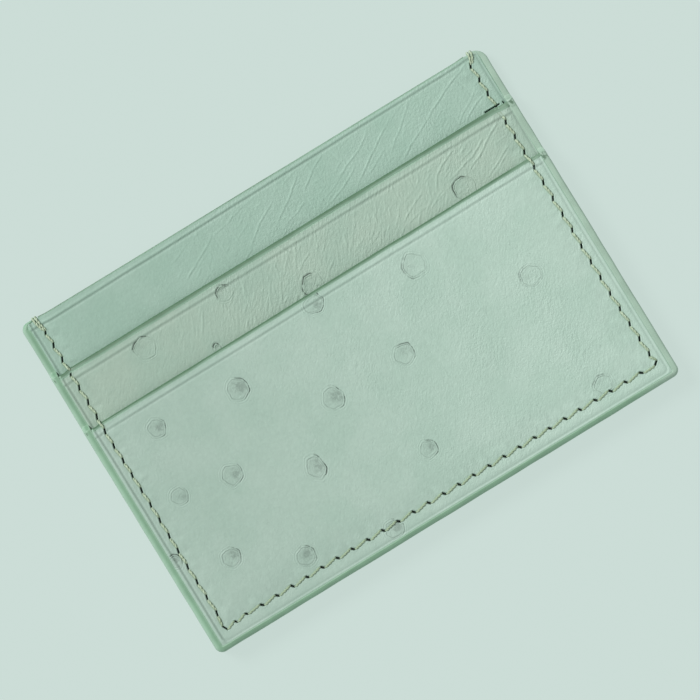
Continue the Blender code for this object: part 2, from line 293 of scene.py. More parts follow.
def seamDistance(x, y):
    # distance to the stitch line, and how far along it a place lies
    left, right, low = x - seam["left"], seam["right"] - x, y - seam["low"]
    base = np.hypot(low, np.minimum(np.minimum(left, right), 0))
    sides = np.hypot(np.minimum(np.abs(left), np.abs(right)), np.minimum(low, 0))
    return np.minimum(base, sides), np.where(base < sides, x, y)


# quill marks

# x from the left edge, y from the bottom edge, radius, height over width, turn of the rounded
# polygon, side of the fold, strength of the fold; angles in degrees
lowerQuills = (
    (12.0, 41.8, 1.62, 1.05, 10, -15, 0.75),
    (28.5, 40.1, 1.95, 1.08, 90, 5, 1.0),
    (48.6, 46.3, 1.95, 0.85, 0, -50, 0.7),
    (49.7, 47.3, 0.42, 1.60, 0, 60, 1.5),
    (68.3, 42.7, 2.15, 1.05, 20, 175, 0.75),
    (9.0, 28.9, 1.60, 1.00, 60, -40, 0.45),
    (19.4, 27.2, 1.90, 1.00, 30, -10, 0.6),
    (42.7, 29.5, 1.95, 1.10, 0, 0, 0.85),
    (58.1, 29.6, 1.90, 1.00, 40, 30, 0.95),
    (85.7, 29.8, 2.10, 0.92, 20, 160, 0.7),
    (33.3, 20.3, 1.65, 1.32, 45, -8, 1.1),
    (11.3, 14.2, 1.75, 1.00, 10, 20, 0.7),
    (52.8, 12.3, 1.60, 1.00, 30, 10, 1.0),
    (23.2, 7.2, 1.80, 1.00, 18, 30, 0.8),
    (2.1, 18.9, 1.10, 1.15, 0, 40, 1.7),
    (39.7, 3.0, 1.75, 0.95, 0, 5, 0.8),
    (86.6, 5.6, 1.75, 1.00, 25, 120, 0.7),
)
upperQuills = (
    (17.9, 55.6, 1.95, 1.00, 10, 110, 1.7),
    (35.7, 56.6, 1.45, 0.95, 30, 115, 1.6),
    (50.5, 49.2, 1.90, 1.12, 36, 138, 1.5),
    (83.7, 49.9, 2.00, 1.05, 20, 118, 2.0),
    (29.3, 48.6, 0.50, 1.30, 0, 90, 1.6),
)
rearQuills = tuple(
    (8.0 + 12.4 * column + 3.0 * (row % 2), 9.0 + 10.6 * row + 2.2 * ((column * 7) % 3), 1.9, 1.0,
     35 * column, 70 * (row + column), 0.8)
    for row in range(6) for column in range(7)
)


def quillField(x, y, quills):
    # signed distance to the nearest pad's rim, weight of its fold there, and the shade inside it
    edge = np.full(x.shape, 3.0)
    fold = np.zeros(x.shape)
    inside = np.zeros(x.shape)
    for number, (cx, cy, radius, aspect, turn, side, strength) in enumerate(quills):
        dx, dy = x - (cx - halfWidth), y - (cy + bottomY)
        near = np.hypot(dx, dy) < radius * 2.0 + 0.9
        a, b = dx[near], dy[near] / aspect
        angle = np.arctan2(b, a)
        sector = 2 * math.pi / (5 + number % 2)
        bent = np.mod(angle - math.radians(turn), sector) - sector / 2
        shape = 0.45 + 0.55 * math.cos(sector / 2) / np.cos(bent)
        shape = shape / (0.45 + 0.55 * math.cos(sector / 2)) * 0.94
        shape += 0.035 * np.sin(3 * angle + 2.3 * number) + 0.015 * np.sin(9 * angle + number)
        distance = np.hypot(a, b) - radius * shape
        facing = np.cos(angle - math.radians(side))
        weight = strength * (0.10 + 0.90 * smooth(facing, -0.1, 0.8))
        closer = distance < edge[near]
        edge[near] = np.where(closer, distance, edge[near])
        fold[near] = np.where(closer, weight, fold[near])
        offA, offB = 0.45 * math.cos(math.radians(side)), 0.45 * math.sin(math.radians(side))
        # painted shade inside the pad, deepest towards its fold side and weaker on the right-hand pads
        innerShadeSpot = bell(np.hypot(a / radius - offA, b / radius - offB), 0.45)
        fibres = 1 + 0.5 * softNoise(a * 1.0 + b * 0.3, b, 0.45, number)
        deep = (0.22 + 0.90 * innerShadeSpot) * min(strength + 0.25, 1.2) * fibres
        deep = deep * (1 - 0.75 * smooth(cx, 45, 66))
        inside[near] = np.maximum(inside[near], deep * smooth(-distance, 0, 0.35))
    return edge, fold, inside


quill = {"ring": 0.012, "foldRing": 0.03, "dimple": 0.055, "sink": 0.03, "furrow": 0.06}


def quillRelief(edge, fold, inside):
    # a dimple with a raised ring, and a tight fold outside the ring on one side
    ring = (quill["ring"] + quill["foldRing"] * np.minimum(fold, 1)) * bell(edge - 0.02, 0.22)
    dimple = -quill["dimple"] * smooth(-edge, 0.1, 0.7) - quill["sink"] * inside
    return ring + dimple - quill["furrow"] * fold * bell(edge - 0.27, 0.15)


# wrinkles

# the long creases of the two strips: strength, then each bend's places in mm from the left and
# from the bottom edge
bodyCreases = (
    (1.0, 30.8, 62.2, 32.4, 63.2, 36.0, 65.1, 38.4, 66.3, 39.6, 67.3),
    (0.5, 30.4, 66.3, 33.2, 67.5, 34.4, 68.2),
    (0.6, 39.0, 66.6, 43.0, 67.5, 46.8, 68.6, 49.6, 68.9),
    (0.9, 43.6, 60.9, 46.6, 63.2, 48.2, 64.4, 50.6, 65.7, 52.4, 66.8),
    (0.4, 39.6, 67.9, 39.7, 64.0, 39.7, 60.4),
    (0.3, 42.6, 67.5, 42.8, 63.1),
    (0.6, 49.8, 60.2, 52.4, 61.7, 54.4, 62.2, 57.6, 63.5),
    (1.0, 50.2, 62.2, 51.8, 63.3, 54.6, 65.1, 57.0, 67.0, 58.6, 68.4),
    (0.9, 58.0, 65.0, 59.8, 66.3, 62.0, 67.9, 64.6, 69.2),
    (0.6, 58.2, 65.1, 57.9, 63.5, 58.1, 61.1, 58.0, 60.0),
    (0.9, 59.2, 60.2, 61.6, 60.7, 65.0, 62.1, 67.2, 63.2, 69.3, 64.8),
    (0.5, 59.0, 61.3, 60.8, 61.9, 63.4, 62.9, 65.2, 63.8),
    (1.0, 64.8, 63.6, 67.2, 65.0, 69.2, 65.6, 71.6, 66.8, 74.0, 68.7),
    (0.6, 66.0, 68.8, 66.6, 66.7, 67.2, 65.1),
    (1.0, 66.4, 60.2, 68.4, 61.7, 71.0, 63.5, 74.4, 65.7, 78.5, 68.2, 80.2, 69.4),
    (0.5, 70.4, 62.6, 70.3, 60.2),
    (0.7, 69.6, 61.3, 72.0, 62.4, 73.6, 63.3, 75.0, 64.1),
    (1.0, 75.6, 62.6, 77.4, 64.4, 79.1, 65.4, 80.5, 66.9, 82.2, 68.2, 83.2, 69.4),
    (0.5, 74.8, 64.2, 75.1, 62.8, 74.6, 61.6),
    (1.2, 76.4, 60.2, 80.4, 62.6, 82.8, 63.7, 86.1, 65.4, 88.7, 66.7, 91.5, 68.0, 96.0, 69.6),
    (0.7, 88.6, 60.3, 90.2, 61.7, 93.0, 63.3, 95.5, 65.0),
    (0.9, 90.4, 60.3, 92.4, 61.7, 93.9, 62.4, 96.2, 63.1),
    (0.6, 92.8, 68.4, 93.4, 66.7, 94.0, 65.4, 93.7, 64.0),
    (0.35, 87.8, 65.6, 88.2, 64.1, 87.6, 62.0),
    (0.35, 80.5, 62.4, 80.9, 60.2),
)
upperCreases = (
    (0.9, 70.8, 50.4, 73.2, 52.0, 77.1, 53.7),
    (0.6, 71.2, 49.7, 74.0, 50.5, 76.4, 50.9),
    (1.2, 78.8, 51.8, 80.4, 54.6, 82.3, 55.8, 84.2, 56.6, 86.6, 57.8),
    (1.0, 81.3, 52.4, 84.5, 53.3, 88.3, 54.4, 92.1, 56.6),
    (1.4, 86.3, 52.6, 89.4, 53.8, 92.0, 55.5, 95.4, 57.4),
    (0.7, 84.6, 54.0, 86.2, 54.8, 88.8, 55.6),
    (0.9, 88.1, 49.3, 91.7, 50.9, 93.1, 51.9, 95.5, 52.8),
    (0.5, 89.3, 49.3, 91.1, 50.0, 93.0, 51.0),
    (0.5, 92.8, 54.0, 94.2, 54.3, 95.7, 54.1),
    (0.4, 87.0, 57.5, 86.6, 55.8),
    (0.4, 88.0, 57.5, 87.5, 55.9),
    (1.0, 49.6, 52.7, 51.1, 53.9, 53.0, 54.8),
    (-1.0, 48.8, 59.0, 49.5, 57.6, 50.4, 56.0),
    (-0.7, 50.8, 59.0, 52.0, 57.9),
    (0.7, 28.0, 52.0, 29.3, 53.8, 30.6, 56.2),
    (0.6, 38.2, 53.2, 39.0, 55.0, 39.6, 56.6),
    (0.6, 43.8, 49.6, 45.2, 52.2, 46.8, 55.0),
)


def foldProfile(side, width):
    # a soft ridge with a furrow below it; the signed distance is above minus below
    return bell(side, width) - 0.75 * bell(side + 1.7 * width, 0.95 * width)


def creaseField(x, y, creases):
    total = np.zeros(x.shape)
    for number, (strength, *bends) in enumerate(creases):
        points = np.reshape(bends, (-1, 2)) + (-halfWidth, bottomY)
        gaps = np.concatenate([[0], np.cumsum(np.hypot(*np.diff(points, axis=0).T))])
        travel = np.linspace(0, gaps[-1], max(4, int(gaps[-1] / 0.5)))
        line = np.stack([np.interp(travel, gaps, points[:, k]) for k in (0, 1)], axis=-1)
        line[1:-1] = (line[:-2] + 2 * line[1:-1] + line[2:]) / 4
        line[:, 1] += 0.10 * softNoise(travel, travel * 0 + number, 1.1, 90)
        low, high = line.min(axis=0) - 1.2, line.max(axis=0) + 1.2
        near = (x > low[0]) & (x < high[0]) & (y > low[1]) & (y < high[1])
        px, py = x[near], y[near]
        best, side, where = np.full(px.shape, 9.0), np.zeros(px.shape), np.zeros(px.shape)
        for k in range(len(line) - 1):
            away, t, above = fromRun(px, py, line[k], line[k + 1])
            closer = away < best
            best = np.where(closer, away, best)
            side = np.where(closer, above, side)
            where = np.where(closer, (k + t) / (len(line) - 1), where)
        fade = smooth(where, -0.05, 0.2) * smooth(1 - where, -0.05, 0.2)
        uneven = 0.75 + 0.35 * softNoise(where * travel[-1], where * 0 + number, 1.6, 91)
        total[near] += strength * fade * uneven * foldProfile(side * best, 0.13 + 0.02 * abs(strength))
    return total


def wrinkleField(x, y, group):
    # many short bent folds, denser towards the right when crowding is below one
    seed, count, crowding, left, right, rows, direction, spread, lengths, widths, height = group
    rng = np.random.default_rng(seed)
    total = np.zeros(x.shape)
    for _ in range(count):
        cx = left + (right - left) * rng.random() ** crowding - halfWidth
        cy = rng.uniform(*rows) + bottomY
        angle = rng.normal(direction, spread)
        half = rng.uniform(*lengths) / 2
        bend = rng.normal(0, 0.03)
        width = rng.uniform(*widths)
        depth = rng.uniform(0.35, 1.0)
        near = within(x, y, (cx, cy), half + 1)
        a, b = turned(x[near] - cx, y[near] - cy, angle)
        b = b - bend * a * a + 0.06 * np.sin(a * 2.3 + cx)
        fade = smooth(half - np.abs(a), 0, half * 0.7)
        total[near] += depth * fade * foldProfile(b, width)
    return total * height


# groups of short wrinkles: seed, count, crowding, from and to across, rows, direction and its
# spread in degrees, lengths, widths, height; places in mm from the left and from the bottom
bodyWrinkles = (
    (11, 70, 0.8, 30, 98, (60, 70), 32, 9, (1.5, 6), (0.11, 0.16), 0.030),
    (12, 110, 0.85, 30, 97, (60, 70), 95, 14, (1.2, 4.5), (0.11, 0.16), 0.027),
)
upperWrinkles = (
    (21, 240, 1.0, 34, 80, (47, 58.5), 57, 13, (1.2, 4.6), (0.10, 0.14), 0.056),
    (22, 110, 0.9, 74, 97, (47, 58.5), 40, 20, (0.8, 3.6), (0.11, 0.16), 0.042),
    (23, 26, 1.0, 24, 36, (50, 58), 60, 7, (1.5, 4.0), (0.13, 0.18), 0.035),
)
lowerWrinkles = (
    (31, 420, 0.8, 30, 97, (4, 46), 55, 20, (0.8, 3.4), (0.15, 0.21), 0.017),
    (32, 60, 0.7, 40, 96, (30, 46), 50, 20, (1.2, 4), (0.16, 0.22), 0.022),
    (33, 70, 1.0, 4, 46, (5, 44), 70, 25, (0.8, 3), (0.17, 0.24), 0.010),
)
rearWrinkles = ((41, 90, 1.0, 3, 97, (3, 68), 40, 20, (4, 14), (0.3, 0.45), 0.03),)


# leather sheets

def cornerDistance(a, b, radius):
    rounded = radius - np.hypot(radius - a, radius - b)
    return np.where((a < radius) & (b < radius), rounded, np.minimum(a, b))


def rimDrop(d, radius):
    inward = np.clip(radius - d, 0, radius * 0.999)
    return radius - np.sqrt(radius * radius - inward * inward)


def marginDistance(x, y, margin, radius, drawnOut=0.0):
    # distance past a line that runs at its own margin from the sides and the bottom, and how far a
    # place belongs to the sides
    fromSide = halfWidth - np.abs(x) - np.where(x < 0, margin[-1], margin[1]) + drawnOut
    fromLow = y - bottomY - margin[0]
    return cornerDistance(fromSide, fromLow, radius), smooth(fromLow - fromSide, -0.6, 0.6)


def lipLine(x, sheet):
    # a slot's lip is pulled down a little outside the seam, and waves between
    if sheet["leaf"]:
        bow = 0.14 * (1 - smooth(np.abs(x), halfWidth - 6, halfWidth - 3.5))
        return topY - 0.04 - bow + 0.03 * softNoise(x, 0 * x, 11.0, sheet["seed"])
    outside = smooth(np.abs(x), halfWidth - 4.2, halfWidth - 2.4)
    wave = 0.05 * softNoise(x, 0 * x, 13.0, sheet["seed"]) * (1 - outside)
    return sheet["mouth"] + sheet["lipRise"] + sheet["lipSlope"] * x / halfWidth - 0.22 * outside + wave


def sheetLie(x, y, sheet):
    # the slow part of a sheet's shape: pulled in along the stitches, fuller between them
    d = cornerDistance(halfWidth - np.abs(x), y - bottomY, holder["bottomCorner"])
    seamAway = seamDistance(x, y)[0]
    lie = sheet["pillow"] * smooth(seamAway, 0.6, 5.0) * smooth(d, 3.6, 8)
    lie = lie - seam["pinch"] * bell(seamAway, 0.95)
    return lie + 0.03 * softNoise(x, y, 9.0, sheet["seed"] + 1)


def leatherRelief(x, y, sheet):
    sideAway = halfWidth - np.abs(x)
    d = cornerDistance(sideAway, y - bottomY, holder["bottomCorner"])
    lip = lipLine(x, sheet) - y
    seamAway, seamAlong = seamDistance(x, y)
    slits = slitField(x, y, sheet["gaps"])
    threads = threadField(x, y)
    quillEdge, quillFold, quillInside = quillField(x, y, sheet["quills"])

    paintAway = marginDistance(x, y, holder["reach"], 0.35)[0]
    drawnOut = 0.25 * smooth(y, 0, 25) * (x < 0)
    drawnOut = drawnOut + (0.45 * smooth(y, 0, 22) - 0.25 * smooth(y, 22, 28)) * (x > 0)
    creaseAway, sideNear = marginDistance(x, y, holder["crease"], 0.9, drawnOut)
    creaseAway = creaseAway + 0.04 * softNoise(x, y, 6.0, 5)
    strength = holder["creaseStrength"]
    sideStrength = np.where(x < 0, strength[-1], strength[1] + 0.4 * smooth(y, 10, 24))
    pressed = strength[0] + (sideStrength - strength[0]) * sideNear
    lipCrease = lip - sheet["lipCrease"] - sheet["creaseSlope"] * x / halfWidth
    lipCrease = lipCrease + 0.04 * softNoise(x, y, 7.0, 6)
    creaseTone = pressed * bell(creaseAway, holder["creaseWidth"])
    lipTone = bell(lipCrease, sheet["creaseWide"]) * smooth(sideAway, 0.9, 1.9)
    lipTone = lipTone * sheet["lipDepth"] * (0.8 + 0.2 * softNoise(x, y, 9.0, 9))

    # the ground rim, rounder at the full stack; the lips have a smaller round of their own
    z = -rimDrop(d, sheet["rim"])
    lipDrop = rimDrop(np.maximum(lip, 0), 0.42)
    if sheet["leaf"]:
        radius = np.where(x < 0, holder["topCorner"][-1], holder["topCorner"][1])
        closed = np.minimum(d, cornerDistance(sideAway, topY - y, radius))
        sideDrop = rimDrop(closed, sheet["rim"]) * smooth(-sideAway, -3.5, -2.5)
        lipDrop = np.maximum(rimDrop(topY - y, 0.3), sideDrop)
    z = np.minimum(z, -lipDrop)
    bare = np.minimum(smooth(paintAway, -0.2, 0), smooth(lip, sheet["cover"] - 0.2, sheet["cover"]))
    z -= holder["paintSink"] * (1 - bare)
    z -= holder["creaseDepth"] * np.maximum(creaseTone, lipTone)
    z += holder["bead"] * pressed ** 2 * bell(creaseAway + 0.44, 0.23) * smooth(paintAway, -0.05, 0.2)
    z += holder["lipBead"] * sheet["lipDepth"] * bell(lipCrease + 0.42, 0.28)

    # short puckers on the inner side of the stitches
    z += sheetLie(x, y, sheet)
    z -= seam["slitDepth"] * smooth(-slits, -0.07, 0.09)
    z += seam["slitSwell"] * bell(slits - 0.17, 0.13)
    z -= seam["threadPress"] * bell(threads, 0.30)
    inner = smooth(d, 3.3, 4.0)
    pucker = softNoise(seamAlong, seamAway * 0.35, 0.75, 77) * bell(seamAway - 1.3, 0.9) * inner
    z += seam["pucker"] * pucker
    for cell, seed, height in holder["uneven"]:
        z += height * softNoise(x, y, cell, seed)

    # quills, creases and wrinkles fade out where the leather is creased or pierced
    calm = smooth(d, 1.5, 2.6) * smooth(np.abs(slits), 0.05, 0.4)
    z += quillRelief(quillEdge, quillFold, quillInside) * smooth(d, 1.0, 1.4)
    folds = sheet["foldDepth"] * creaseField(x, y, sheet["creases"])
    for group in sheet["wrinkles"]:
        folds = folds + wrinkleField(x, y, group) * smooth(lip, 0.6, 2.2)
    folds = folds * calm * (1 - 0.7 * smooth(-quillEdge, -0.4, 0.2))
    z += folds

    if sheet["up"] < 0:
        z = np.minimum(z, sheet["face"] - 0.01)  # the back lies pressed flat on the table

    rough = sheet["grain"]
    level = rough[0] + (rough[1] - rough[0]) * smooth(x, rough[2] - halfWidth, rough[3] - halfWidth)
    level = level * (0.75 + 0.45 * softNoise(x, y, 7.0, sheet["seed"] + 20)) * smooth(d, 1.4, 2.4)
    # a painted shadow band along both sides of the thread, weaker along the bottom run
    soil = bell(threads - 0.24, 0.10) * smooth(np.abs(slits), 0.0, 0.12)
    soil = soil * (1 - 0.8 * smooth(seam["low"] + 0.9 - y, -0.3, 0.3))
    # marks for the shader: crease darkening, partly painted shade; near-black painted shade in the slits; a
    # painted shadow beside the thread; painted shade at the quill pads; paler ridges from wear and painted
    # highlight, painted shade in the furrows
    return z, {
        "tone": np.clip(np.maximum(creaseTone, lipTone), 0, 1.3),
        "slit": slits,
        "soil": soil,
        "quillEdge": quillEdge,
        "quillFold": quillFold,
        "quillInside": quillInside * sheet["padShade"],
        "painted": np.minimum(paintAway, lip - sheet["cover"]),
        "rub": np.clip(folds / 0.065, -1, 1.2) + 0.6 * pucker,
        "grainLevel": level,
    }


def leatherSheet(name, sheet, material):
    # one closed sheet: a fine relief on its outer face, a wall round it and a flat inner face
    inset = 0.25
    half = halfWidth - inset
    low = bottomY + inset
    high = topY - inset if sheet["leaf"] else sheet["mouth"] - 0.12
    step = sheet["step"]
    edgeRun = spaced(0, 2.6, 0.14)
    seamRun = spaced(-0.8, 0.8, 0.10)
    columns = joinRuns(
        half - edgeRun, -half + edgeRun, seam["right"] + seamRun, seam["left"] + seamRun,
        spaced(seam["left"] + 0.9, seam["right"] - 0.9, step),
    )
    fineFrom = sheet["fineFrom"]
    fineRows = spaced(max(fineFrom, seam["low"] + 0.9), high - 2.7, sheet["rowStep"])
    if fineFrom > low + 3:
        rows = joinRuns(spaced(low + 2.0, fineFrom, 2.5), fineRows, high - edgeRun)
        rows = np.concatenate([[low, low + 0.3, low + 0.8], rows])
    else:
        rows = joinRuns(low + edgeRun, seam["low"] + seamRun, fineRows, high - edgeRun)
    grid = np.meshgrid(columns, rows)
    shrinkLow = rimDrop(rows - low, holder["bottomCorner"] - inset)
    shrink = {side: shrinkLow for side in (-1, 1)}
    if sheet["leaf"]:
        for side in (-1, 1):
            shrink[side] = shrinkLow + rimDrop(high - rows, holder["topCorner"][side] - inset)
    narrowed = {side: ((half - shrink[side]) / half)[:, None] for side in (-1, 1)}
    x = grid[0] * np.where(grid[0] < 0, narrowed[-1], narrowed[1])
    y = grid[1]
    if not sheet["leaf"]:
        y = y + (lipLine(x, sheet) - sheet["mouth"]) * smooth(y, sheet["mouth"] - 5, sheet["mouth"])
    relief, marks = leatherRelief(x, y, sheet)
    up = sheet["up"]
    top = np.stack([x, y, sheet["face"] + up * relief], axis=-1).reshape(-1, 3)

    rowCount, columnCount = grid[0].shape
    index = np.arange(rowCount * columnCount).reshape(rowCount, columnCount)
    quads = np.stack(
        [index[:-1, :-1], index[:-1, 1:], index[1:, 1:], index[1:, :-1]], axis=-1
    ).reshape(-1, 4)
    border = np.concatenate([index[0, :], index[1:, -1], index[-1, -2::-1], index[-2:0:-1, 0]])
    wallPoints = top[border].copy()
    wallPoints[:, 2] = sheet["face"] - up * sheet["thickness"]
    wall = len(top) + np.arange(len(border))
    following = np.roll(np.arange(len(border)), -1)
    sides = np.stack([border, wall, wall[following], border[following]], axis=-1)
    faces = quads.tolist() + sides.tolist() + [wall[::-1].tolist()]
    if up < 0:
        faces = [face[::-1] for face in faces]
    obj = meshObject(name, np.concatenate([top, wallPoints]), faces, material, 65)
    for key, values in marks.items():
        setAttribute(obj, key, np.concatenate([values.reshape(-1), values.reshape(-1)[border]]))
    return obj


# materials, each a short list of steps

def newMaterial(name, noises, marks=()):
    # a material with what its steps start from: the place on the piece, marks kept on the mesh,
    # and noises, each with its cell in mm, detail, roughness and distortion
    material = bpy.data.materials.new(name)
    material.use_nodes = True
    tree = material.node_tree
    tree.nodes.clear()
    made = {"place": addNode(tree, "TexCoord").outputs["Object"]}
    for key in marks:
        made[key] = addNode(tree, "Attribute", attribute_name=key).outputs["Fac"]
    for key, (cell, detail, roughness, distortion) in noises.items():
        made[key] = addNode(tree, "TexNoise", {
            "Vector": made["place"], "Scale": 1000 / cell, "Detail": detail, "Roughness": roughness,
            "Distortion": distortion,
        })
    return material, tree, made


def addSteps(tree, made, *steps):
    # a step is the name of a node, its kind and its inputs; a text among the inputs is an earlier
    # step, with the name of its output if that is not the first one, or else a hex colour
    def found(value):
        if isinstance(value, dict):
            return {key: found(inner) for key, inner in value.items()}
        if not isinstance(value, str):
            return value
        name, _, output = value.partition(" ")
        if name not in made:
            return linear(value)
        return made[name].outputs[output] if output else made[name]

    for name, kind, *values in steps:
        values = [found(value) for value in values]
        if kind == "product":
            made[name] = values[0]
            for factor in values[1:]:
                made[name] = addNode(tree, "Math MULTIPLY", made[name], factor)
        else:
            made[name] = addNode(tree, kind, *values)


def finishSurface(tree, made, colour, height, strength, depth, finish):
    # the end of every material: relief of a depth in mm, shader and output
    addSteps(
        tree, made,
        ("bump", "Bump", {"Strength": strength, "Distance": depth * metre, "Height": height}),
        ("shader", "BsdfPrincipled", {"Base Color": colour, "Normal": "bump", **finish}),
        ("output", "OutputMaterial", {"Surface": "shader"}),
    )


leatherMarks = (
    "tone", "slit", "soil", "quillEdge", "quillFold", "quillInside", "painted", "rub", "grainLevel",
)
leatherNoises = {
    "clouds": (8.0, 3.0, 0.55, 0.0), "speckle": (0.8, 2.0, 0.6, 0.0), "breaks": (0.9, 2.0, 0.5, 0.0),
    "crumbs": (0.75, 3.0, 0.65, 1.2), "pores": (0.42, 2.0, 0.7, 0.0),
}


def ostrichLeather(name, look):
    # aniline-dyed ostrich, plated to a satin sheen: flat quill pads with painted shade in the fold on one
    # side, round the rim and inside, faint mottled dye, a fine diagonal grain, creases darker from the heat
    # and from painted shade, high spots paler from wear and painted highlight, furrows with painted shade,
    # and painted light that makes it paler towards the right
    material, tree, made = newMaterial(name, leatherNoises, leatherMarks)
    addSteps(
        tree, made,
        ("dyeShare", "MapRange", "clouds", 0.30, 0.70, 0, 1),
        ("dye", "Mix", "dyeShare", look["light"], look["deep"]),
        ("split", "SeparateXYZ", "place"),
        # painted light: the leather is made paler towards the right, as if lit brighter there
        ("drift", "MapRange", "split", -0.045, 0.045, *look["drift"]),  # paler towards the right
        ("speckled", "MapRange", "speckle", 0.3, 0.7, 0.975, 1.02),
        ("broken", "MapRange", "breaks", 0.36, 0.60, 0.40, 1.20),
        # a dark broken line along each pad's fold: painted shade in the fold
        ("foldOff", "Math SUBTRACT", "quillEdge", 0.22),
        ("foldAway", "Math ABSOLUTE", "foldOff"),
        ("foldNear", "MapRange", "foldAway", 0.02, 0.14, 1, 0),
        ("foldLine", "product", "foldNear", "quillFold", "broken"),
        ("foldDark", "MapRange", "foldLine", 0.0, 1.3, 1.0, look["foldDark"]),
        # the raised ring round a pad, crisp on the fold's side, with faint ripples outside it
        ("ringAway", "Math ABSOLUTE", "quillEdge"),
        ("ringNear", "MapRange", "ringAway", 0.0, 0.20, 1, 0),
        ("ringSize", "Math ADD", "quillFold", 0.55),
        ("ring", "product", "ringNear", "ringSize", "broken"),
        ("phase", "Math MULTIPLY", "quillEdge", 2 * math.pi / 0.42),
        ("waves", "Math SINE", "phase"),
        ("fadeOut", "MapRange", "quillEdge", 0.25, 1.2, 0.15, 0),
        ("fadeIn", "MapRange", "quillEdge", 0.0, 0.25, 0, 1),
        ("ripple", "product", "waves", "fadeOut", "broken", "fadeIn"),
        # the sunken pad is finely crumpled, and outlined by a thin broken dark line, painted shade in the
        # furrow round its rim; its inside is darker, painted shade in the dimple
        ("within", "MapRange", "quillEdge", -0.5, 0, 1.1, 0),
        ("crumple", "product", "crumbs", "within"),
        ("outlineOff", "Math ADD", "quillEdge", 0.10),
        ("outlineAway", "Math ABSOLUTE", "outlineOff"),
        ("outlineNear", "MapRange", "outlineAway", 0.03, 0.17, look["outline"], 0),
        ("unbroken", "MapRange", "breaks", 0.36, 0.60, 0.60, 1.05),
        ("outline", "product", "outlineNear", "unbroken"),
        ("outlineDark", "MapRange", "outline", 0.1, 1.0, 1.0, 0.80),
        ("mottled", "MapRange", "crumbs", 0.3, 0.7, 0.4, 1.5),
        ("sunken", "product", "quillInside", "mottled"),
        ("insideDark", "MapRange", "sunken", 0, 1, 1.0, look["insideDark"]),
        # darker along the heated creases at the edges and the lips: the heat's own darkening together with
        # painted shade in the groove
        ("creaseDark", "MapRange", "tone", 0, 1, 1.0, look["creaseDark"]),
        # paler on fold ridges and puckers and darker in the furrows: wear together with painted highlight
        # on the ridges, and painted shade in the furrows
        ("rubbed", "MapRange", "rub", -1, 1, 1 - look["rub"], 1 + look["rub"]),
        ("padShade", "product", "foldDark", "outlineDark", "insideDark"),
        ("shade", "product", "drift", "speckled", "padShade", "creaseDark", "rubbed"),
        ("toned", "VectorMath SCALE", {0: "dye", "Scale": "shade"}),
        # painted shadow along both sides of the thread, paint bled in along the border, and painted shade
        # in the slits
        ("soilShare", "MapRange", "soil", 0.1, 1, 0, 0.38),
        ("soiled", "Mix", "soilShare", "toned", "76895f"),
        ("bleedShare", "MapRange", "painted", -0.05, 0.22, 0.7, 0),
        ("bled", "Mix", "bleedShare", "soiled", look["paintBleed"]),
        # near-black in the slits: painted shade in the holes
        ("holeShare", "MapRange", "slit", -0.03, 0.05, 1, 0),
        ("colour", "Mix", "holeShare", "bled", "13231a"),
        # grain: pebbles about 0.55 mm wide and diagonal hairlines 0.46 mm apart, a little coarser
        # than on a real hide so that they still show
        ("pebbles", "TexVoronoi", {"Vector": "place", "Scale": 1000 / 0.55}),
        ("turned", "VectorRotate", {"Vector": "place", "Angle": -math.radians(look["grainAngle"])}),
        ("stretched", "VectorMath MULTIPLY", "turned", (look["stretch"], 1, 1)),
        ("hairlines", "TexNoise", {
            "Vector": "stretched", "Scale": 1000 / 0.46, "Detail": 2.0, "Roughness": 0.6, "Distortion": 0.7,
        }),
        ("fine", "Math MULTIPLY_ADD", "pores", look["pores"], "hairlines"),
        ("level", "product", "fine", "grainLevel"),
        ("height", "Math MULTIPLY_ADD", "pebbles", 0.12, "level"),
        ("height", "Math MULTIPLY_ADD", "foldLine", -0.35, "height"),
        ("height", "Math MULTIPLY_ADD", "outline", -0.25, "height"),
        ("height", "Math MULTIPLY_ADD", "ring", 0.30, "height"),
        ("height", "Math MULTIPLY_ADD", "ripple", 0.8, "height"),
        ("height", "Math MULTIPLY_ADD", "crumple", 0.5, "height"),
        ("gloss", "MapRange", "clouds", 0.3, 0.7, look["rough"] - 0.04, look["rough"] + 0.05),
    )
    finish = {"Roughness": "gloss", "IOR": 1.5, "Specular IOR Level": 0.40}
    finishSurface(tree, made, "colour", "height", look["grain"], 0.22, finish)
    return material


